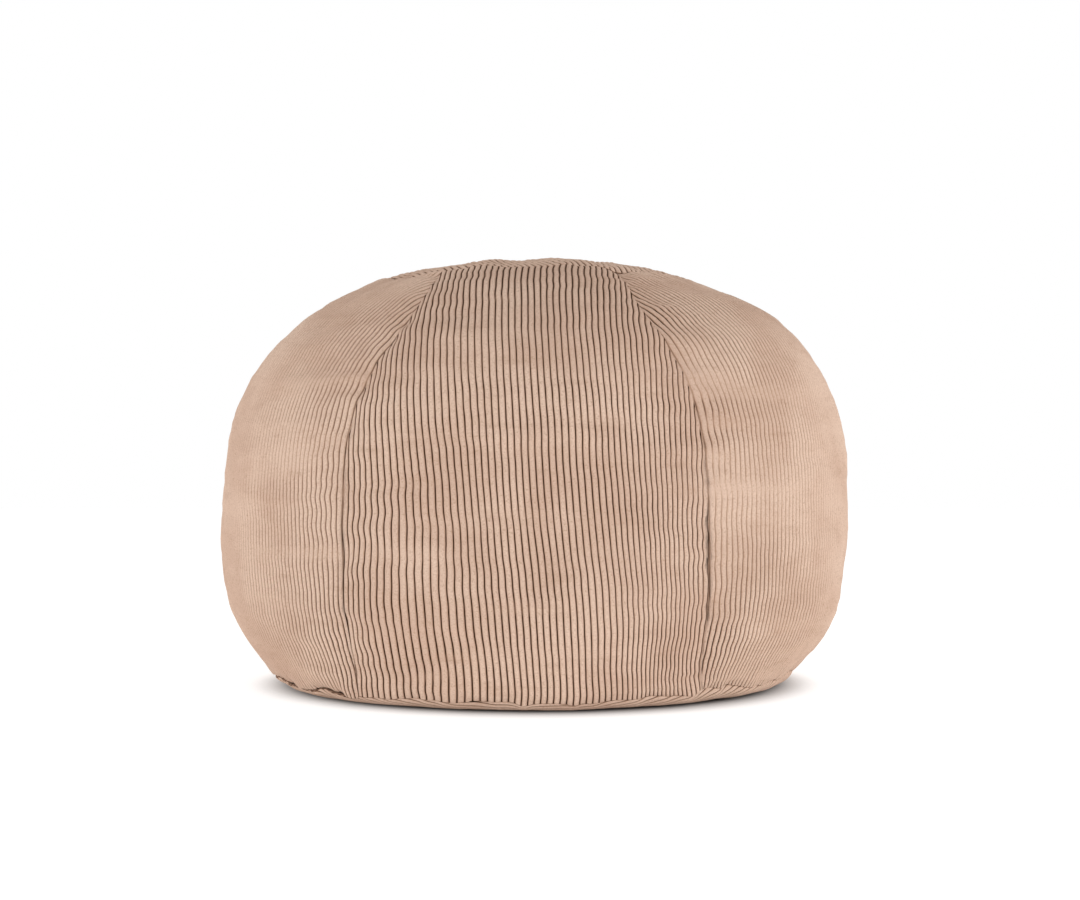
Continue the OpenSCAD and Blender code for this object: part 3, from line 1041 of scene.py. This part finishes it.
def bead_fill():
    """The beads: one lumpy body with a rough surface."""
    around = np.linspace(0, 2 * math.pi, 241)[:-1]
    flat_r = np.linspace(FILL_HOLE_R, FLOOR_R, 36)[:-1]
    along = np.linspace(LINE_S[0], float(high_s(FILL_HOLE_R)), 150)
    azimuth, r = np.meshgrid(around, flat_r, indexing="ij")
    x, y = r * np.sin(azimuth), -r * np.cos(azimuth)
    azimuth, s = np.meshgrid(around, along, indexing="ij")
    high_rise = form(azimuth, s) * ease((s - LINE_S[0]) / 0.03) - FILL_DEPTH
    rise = np.concatenate([floor_rise(x, y, FILL_DEPTH), high_rise], 1)
    beads = np.random.default_rng(301).uniform(-BEAD_SIZE, 0, rise.shape)
    low_high = zip(under_surface(x, y), on_outline(azimuth, s))
    points, normals = (np.concatenate(both, 1) for both in low_high)
    grid = raised(points, normals, rise + beads)
    points = np.concatenate([grid.reshape(-1, 3), [grid[:, 0].mean(0)], [grid[:, -1].mean(0)]])
    obj = new_object("beads", points, ring_faces(*grid.shape[:2]), BEADS)
    as_cloth(obj, "bead_fill")


allowances()
for index in range(PANELS):
    liner_panel(index)
liner_top()
liner_base("front", -1)
liner_base("back", 1)
bead_fill()


# ---------------- parts of a zip


def swept(points, side, side_r, up_r, sides, sizes=None):
    """A closed tube along points. side is the direction that side_r is measured in."""
    points = np.asarray(points, float)
    ahead = np.gradient(points, axis=0)
    ahead /= np.linalg.norm(ahead, axis=1)[:, None]
    side = np.asarray(side, float) - (ahead @ np.asarray(side, float))[:, None] * ahead
    side /= np.linalg.norm(side, axis=1)[:, None]
    up = np.cross(ahead, side)
    turn = 2 * math.pi * np.arange(sides) / sides
    wide = (side_r * np.cos(turn))[None, :, None] * side[:, None]
    tall = (up_r * np.sin(turn))[None, :, None] * up[:, None]
    sizes = np.ones(len(points)) if sizes is None else np.asarray(sizes)
    rings = points[:, None] + (wide + tall) * sizes[:, None, None]
    faces = []
    for i in range(len(points) - 1):
        for j in range(sides):
            a, b = i * sides + j, i * sides + (j + 1) % sides
            faces.append([a, b, b + sides, a + sides])
    faces.append(list(range(sides))[::-1])
    faces.append([(len(points) - 1) * sides + j for j in range(sides)])
    return rings.reshape(-1, 3), faces


def plate(outline, low, high, edge, holes=()):
    """A flat part between two heights with rounded edges. outline and holes are (x, y) loops."""
    data = bpy.data.curves.new("plate", "CURVE")
    data.dimensions = "2D"
    data.fill_mode = "BOTH"
    data.extrude = (high - low) / 2 - edge
    data.bevel_depth = edge
    data.bevel_resolution = 2
    data.offset = -edge
    for loop in [outline, *holes]:
        spline = data.splines.new("POLY")
        spline.points.add(len(loop) - 1)
        for point, (x, y) in zip(spline.points, loop):
            point.co = (x, y, 0, 1)
        spline.use_cyclic_u = True
    obj = add_object("plate", data)
    seen = obj.evaluated_get(bpy.context.evaluated_depsgraph_get())
    mesh = bpy.data.meshes.new_from_object(seen)
    bm = bmesh.new()
    bm.from_mesh(mesh)
    bmesh.ops.remove_doubles(bm, verts=bm.verts, dist=1e-6)
    bm.verts.index_update()
    points = np.array([v.co[:] for v in bm.verts]) + [0, 0, (low + high) / 2]
    faces = [[v.index for v in f.verts] for f in bm.faces]
    bm.free()
    bpy.data.objects.remove(obj)
    bpy.data.curves.remove(data)
    bpy.data.meshes.remove(mesh)
    return points, faces


def joined(name, parts, material, body, node):
    points, faces, count = [], [], 0
    for part_points, part_faces in parts:
        points.append(part_points)
        faces += [[count + i for i in f] for f in part_faces]
        count += len(part_points)
    obj = new_object(name, np.concatenate(points), faces, material)
    obj.data.set_sharp_from_angle(angle=math.radians(38))
    tag(obj, body, node)


def moved(part, x, y, z=0.0):
    return part[0] + [x, y, z], part[1]


def arc(x, y, radius, angles):
    return [(x + radius * math.cos(a), y + radius * math.sin(a)) for a in angles]


def bar(x_low, x_high, y_low, y_high):
    corner = 0.28 * min(x_high - x_low, y_high - y_low)
    x_ends = x_low + corner, x_high - corner
    y_ends = y_low + corner, y_high - corner
    loop = []
    for quarter, (i, j) in enumerate(((1, 1), (0, 1), (0, 0), (1, 0))):
        turn = np.linspace(0, math.pi / 2, 5) + quarter * math.pi / 2
        loop += arc(x_ends[i], y_ends[j], corner, turn)
    return loop


# ---------------- the zips


# The zip's line is at y, and its coils lie under its tapes. A slider is given as half its length,
# half its width, its wings' thickness and its rails' width.
COVER_ZIP = SimpleNamespace(
    y=0.0,
    tape_end=0.262,
    tape_width=0.016,
    tape_low=0.0070,
    coil_low=0.0046,
    coil_from=-0.232,
    coil_to=0.244,
    coil_width=0.0033,
    pitch=0.0013,
    wire=0.00052,
    slider=(0.0070, 0.0052, 0.0012, 0.0009),
)
LINER_ZIP = SimpleNamespace(
    y=LINER_ZIP_Y,
    tape_end=0.158,
    tape_width=0.012,
    tape_low=0.0103,
    coil_low=0.0085,
    coil_from=-0.147,
    coil_to=0.146,
    coil_width=0.0025,
    pitch=0.0011,
    wire=0.00042,
    slider=(0.0050, 0.0038, 0.0009, 0.0006),
)
TAPE_T = 0.0007
COIL_GAP = 0.00045
SLIDER_GAP = 0.0003
SLIDER_X = 0.236
LINER_SLIDER_X = 0.140
PIVOT_Z = 0.0023


def coil(sizes, side):
    """Half of a nylon coil: a flattened helix with a bulged head beside the other half."""
    turns = round((sizes.coil_to - sizes.coil_from) / sizes.pitch)
    step = np.arange(turns * 12) / 12
    phase = 2 * math.pi * step
    middle = (COIL_GAP + sizes.coil_width) / 2
    half = (sizes.coil_width - COIL_GAP) / 2 - sizes.wire / 2
    y = middle + half * np.sign(np.cos(phase)) * np.abs(np.cos(phase)) ** 0.6
    middle = (sizes.coil_low + sizes.tape_low) / 2
    half = (sizes.tape_low - sizes.coil_low) / 2 - sizes.wire / 2
    z = middle + half * np.sign(np.sin(phase)) * np.abs(np.sin(phase)) ** 0.6
    pitch = (sizes.coil_to - sizes.coil_from - 3 * sizes.wire) / turns
    x = sizes.coil_from + sizes.wire + (step + (0.25 if side > 0 else 0)) * pitch
    points = np.stack([x, sizes.y + side * y, z], -1)
    return swept(points, (1, 0, 0), sizes.wire / 2, sizes.wire / 2, 6)


def tape_faces(sizes, side):
    """A woven tape's two faces, with a thin selvedge and small waves."""
    x = np.linspace(-sizes.tape_end, sizes.tape_end, round(2 * sizes.tape_end / 0.005))
    across, x = np.meshgrid(np.linspace(0, 1, 15), x, indexing="ij")
    y = sizes.y + side * (0.0006 + sizes.tape_width * across)
    thin = 0.00022 * ease((across - 0.8) / 0.2)
    ribs = 0.00006 * np.cos(across * 14 * math.pi)
    ripple = 0.00005 * noise(x / 0.02, across * 3, 401)
    low = sizes.tape_low + 0.00012 + thin / 2 + ribs + ripple
    high = sizes.tape_low + TAPE_T - 0.0001 - thin + ripple
    return [np.stack([x, y, z], -1)[::side] for z in (low, high)]


def zip_sides(sizes, start, tape_cloth, coil_plastic):
    """Both halves of a zip. start begins the names of its pieces and nodes."""
    for side, half in ((-1, "front"), (1, "back")):
        tape = even_cloth(start + "zip_cloth_" + half, *tape_faces(sizes, side), tape_cloth)
        tag(tape, "bag", start + "zip_tape_" + half)
        name, node = start + "coil_" + half, start + "zip_coil_" + half
        joined(name, [coil(sizes, side)], coil_plastic, "bag", node)


def wing_outline(half_l, half_w):
    """A slider's wing: wide at the front, with rounded corners."""
    t = np.linspace(-1, 1, 33)
    x = half_l * np.sin(t * math.pi / 2)
    width = half_w * (0.86 + 0.14 * ease((x / half_l + 0.5) / 0.8))
    width = width * (1 - np.abs(x / half_l) ** 6) ** 0.5
    upper = [(a, b) for a, b in zip(x, width)][1:-1]
    return upper[::-1] + [(-half_l, 0)] + [(a, -b) for a, b in upper] + [(half_l, 0)]


def slider_parts(sizes):
    """Two wings, the neck that joins them and the rails at their sides."""
    half_l, half_w, wing_t, rail = sizes.slider
    low = sizes.coil_low - SLIDER_GAP - wing_t
    high = sizes.tape_low + TAPE_T + SLIDER_GAP
    wing = wing_outline(half_l, half_w)
    neck = bar(half_l * 0.5, half_l * 0.9, -0.0004, 0.0004)
    parts = [plate(wing, z, z + wing_t, 0.00030) for z in (low, high)]
    parts.append(plate(neck, low + 0.0004, high + 0.0004, 0.0001))
    rail_y = half_w * 0.9 - rail
    for side in (-1, 1):
        edge = sorted((side * rail_y, side * (rail_y + rail)))
        outline = bar(-half_l * 0.94, half_l * 0.66, *edge)
        rail_top = sizes.tape_low - SLIDER_GAP / 2
        parts.append(plate(outline, low + wing_t / 2, rail_top, 0.00015))
    return parts


def staple():
    """The slider's loop for the pull: a wire that goes down, along and up again."""
    half, top, bottom, bend = 0.0037, 0.0034, 0.0010, 0.0010
    down = arc(bend - half, bottom + bend, -bend, np.linspace(0, math.pi / 2, 7))
    path = [(-half, top), *down]
    path += [(-x, z) for x, z in path[::-1]]
    return swept([(x, 0, z) for x, z in path], (0, 1, 0), 0.0009, 0.0005, 10)


def crimp(low, high, waist, edge):
    """A metal stop clamped on the cover zip's coils, with a waist."""
    steps = (0, 0), (0.0012, waist), (0.0028, waist), (0.004, 0)
    outline = [(x, low + dip) for x, dip in steps] + [(x, high - dip) for x, dip in steps[::-1]]
    return plate(outline, COVER_ZIP.coil_low, COVER_ZIP.tape_low, edge)


def cover_zip():
    zip_sides(COVER_ZIP, "", ZIP_TAPE, ZIP_COIL)
    stop = crimp(0, 0.0027, 0.0002, 0.0004)
    stops = [moved(stop, COVER_ZIP.coil_to, y) for y in (0.0006, -0.0033)]
    joined("crimps", stops, BRASS, "bag", "zip_top_stops")
    foot = moved(crimp(-0.0033, 0.0033, 0.0004, 0.0005), -0.236, 0)
    joined("foot_crimp", [foot], BRASS, "bag", "zip_bottom_stop")
    parts = [moved(part, SLIDER_X, 0) for part in [*slider_parts(COVER_ZIP), staple()]]
    joined("slider", parts, BRASS, "zip_slider", "zip_slider")


def pull_tab():
    """The pull: a pin and two arms bent from one wire, and a tab with a raised rim and a hole."""
    turn = np.linspace(0, math.pi / 2, 6)
    arm = [(-0.0068, -0.0026), (-0.0040, -0.0026), (-0.0012, -0.0026)]
    arm += [(-0.0008 + 0.0008 * math.sin(a), -0.0018 - 0.0008 * math.cos(a)) for a in turn]
    path = [(x, y, 0) for x, y in arm] + [(x, -y, 0) for x, y in arm[::-1]]
    wire = swept(path, (0, 0, 1), 0.0006, 0.0006, 10)
    t = np.linspace(0, 1, 15)
    x = -0.0060 - 0.0220 * t
    width = 0.0033 - 0.0006 * np.sin(t * math.pi) + 0.0003 * t
    width *= (1 - np.abs(2 * t - 1) ** 8) ** 0.4
    edge = [(a, b) for a, b in zip(x, width)][1:-1]
    outline = [(x[0], 0)] + edge + [(x[-1], 0)] + [(a, -b) for a, b in edge[::-1]]
    angles = np.linspace(0, 2 * math.pi, 25)[:-1]
    hole, rim = (arc(-0.023, 0, radius, angles) for radius in (0.0017, 0.0026))
    tab = plate(outline, -0.0005, 0.0005, 0.0002, [hole])
    lip = plate(rim, -0.0006, 0.0006, 0.0002, [hole])
    parts = [moved(part, SLIDER_X, 0, PIVOT_Z) for part in (wire, tab, lip)]
    joined("pull", parts, BRASS, "zip_pull", "zip_pull")


def liner_zip():
    y, ends = LINER_ZIP.y, (LINER_ZIP.coil_low, LINER_ZIP.tape_low)
    zip_sides(LINER_ZIP, "liner_", LINER_TAPE, LINER_COIL)
    stop = plate(bar(0, 0.003, 0, 0.0019), *ends, 0.0003)
    foot = plate(bar(0, 0.003, -0.0025, 0.0025), *ends, 0.0004)
    parts = [moved(stop, LINER_ZIP.coil_to, y + offset) for offset in (0.0006, -0.0025)]
    parts.append(moved(foot, -0.150, y))
    joined("liner_crimps", parts, CHROME, "bag", "liner_zip_stops")
    lug = [(x, 0, z) for x, z in arc(0, 0.0076, 0.00145, np.linspace(0, -math.pi, 13))]
    parts = slider_parts(LINER_ZIP) + [swept(lug, (0, 1, 0), 0.0006, 0.00045, 10)]
    parts = [moved(part, LINER_SLIDER_X, y) for part in parts]
    body = "liner_zip_slider"
    joined("liner_slider", parts, CHROME, body, "liner_zip_slider")


def topstitching():
    """Stitches that hold the hem to the zip's tape, seen from below."""
    stitch = np.linspace(-1, 1, 6)
    sizes = [0.4, 0.9, 1, 1, 0.9, 0.4]
    z = 0.00075 + 0.0006 * np.abs(stitch) ** 3
    parts = []
    for y in (-GAP_HALF - STITCH_Y, GAP_HALF + STITCH_Y):
        for x in np.arange(-0.246, 0.247, 0.0042):
            path = np.stack([x + 0.0016 * stitch, y + 0 * stitch, z], -1)
            parts.append(swept(path, (0, 1, 0), 0.00048, 0.00040, 6, sizes))
    joined("topstitching", parts, THREAD, "bag", "base_panel_front")


def care_label():
    """A blank satin label sewn into the hem, with a curled free end."""
    u, t = np.meshgrid(np.linspace(0, 1, 17), np.linspace(0, 1, 41), indexing="ij")
    x = 0.120 + 0.040 * u
    y = -0.0174 - 0.0585 * t
    z = 0.0051 + 0.0008 * np.exp(-t * 8) + 0.0022 * t**4 * (0.6 + 0.4 * u)
    z += 0.0003 * np.sin(t * 9 + u * 2)
    low, high = (np.stack([x, y, z + up], -1) for up in (0, 0.0003))
    obj = even_cloth("label", low, high, LABEL)
    tag(obj, "bag", "care_label")


cover_zip()
pull_tab()
liner_zip()
topstitching()
care_label()


# ---------------- stage, light and camera


def aim(obj, place, target):
    obj.location = place
    obj.rotation_mode = "QUATERNION"
    obj.rotation_quaternion = (Vector(target) - Vector(place)).to_track_quat("-Z", "Y")


def stage_floor():
    """A white floor that glows a little, but not under and close round the bag: there the missing
    glow paints a darker shadow ring, besides the bag's own shadow.
    """
    material, g = new_material(
        "white_floor",
        Roughness=0.9,
        Specular_IOR_Level=0.1,
        Base_Color=(0.50, 0.50, 0.50, 1),
        Emission_Color=WHITE,
    )
    distance = g.add("VectorMath", "Value", {0: g.place}, operation="LENGTH")
    # Painted shadow: the glow fades out between 0.41 m and 0.33 m from the middle, darkening the
    # floor round the bag's base.
    g.shade(Emission_Strength=g.ramp(distance, 0.33, 0.41, 0.0, 0.72))
    size = 30
    corners = [(-size, -size, 0), (size, -size, 0), (size, size, 0), (-size, size, 0)]
    floor = new_object("floor", corners, [(0, 1, 2, 3)], material)


def area_light(name, place, size, power):
    data = bpy.data.lights.new(name, "AREA")
    data.shape = "RECTANGLE"
    data.size, data.size_y = size
    data.energy = power
    aim(add_object(name, data), place, (0, 0, BODY_H / 2))


def studio():
    """A white surround that is dimmer overhead, and three soft lamps."""
    scene = bpy.context.scene
    scene.world = bpy.data.worlds.new("studio")
    g = Graph(scene.world)
    up = g.add("SeparateXYZ", "Z", {"Vector": g.add("TexCoord", "Generated")})
    background = g.nodes["Background"].inputs
    g.give(background["Color"], WHITE)
    g.give(background["Strength"], g.ramp(up, 0.3, 0.9, 1.0, 0.38, "LINEAR"))
    scene.view_settings.view_transform = "Standard"
    area_light("right_box", (2.6, 0.2, 0.7), (1.4, 1.4), 14)
    area_light("left_box", (-2.6, 0.2, 0.7), (1.4, 1.4), 10)
    area_light("front_box", (0.3, -3.0, 1.3), (2.0, 1.2), 16)


CAMERA_DISTANCE = 2.257
CAMERA_HEIGHT = 0.261
CAMERA_AZIMUTH = math.radians(1.8)
AIM_RIGHT = 0.0072
AIM_UP = 0.068
LENS = 52.2


def camera():
    data = bpy.data.cameras.new("camera")
    data.lens = LENS
    data.sensor_width = 36
    data.clip_start, data.clip_end = 0.05, 60
    back = Vector((math.sin(CAMERA_AZIMUTH), -math.cos(CAMERA_AZIMUTH), 0))
    right = Vector((math.cos(CAMERA_AZIMUTH), math.sin(CAMERA_AZIMUTH), 0))
    target = right * AIM_RIGHT + Vector((0, 0, CAMERA_HEIGHT + AIM_UP))
    cam = add_object("camera", data)
    aim(cam, back * CAMERA_DISTANCE + Vector((0, 0, CAMERA_HEIGHT)), target)
    bpy.context.scene.camera = cam


stage_floor()
studio()
camera()
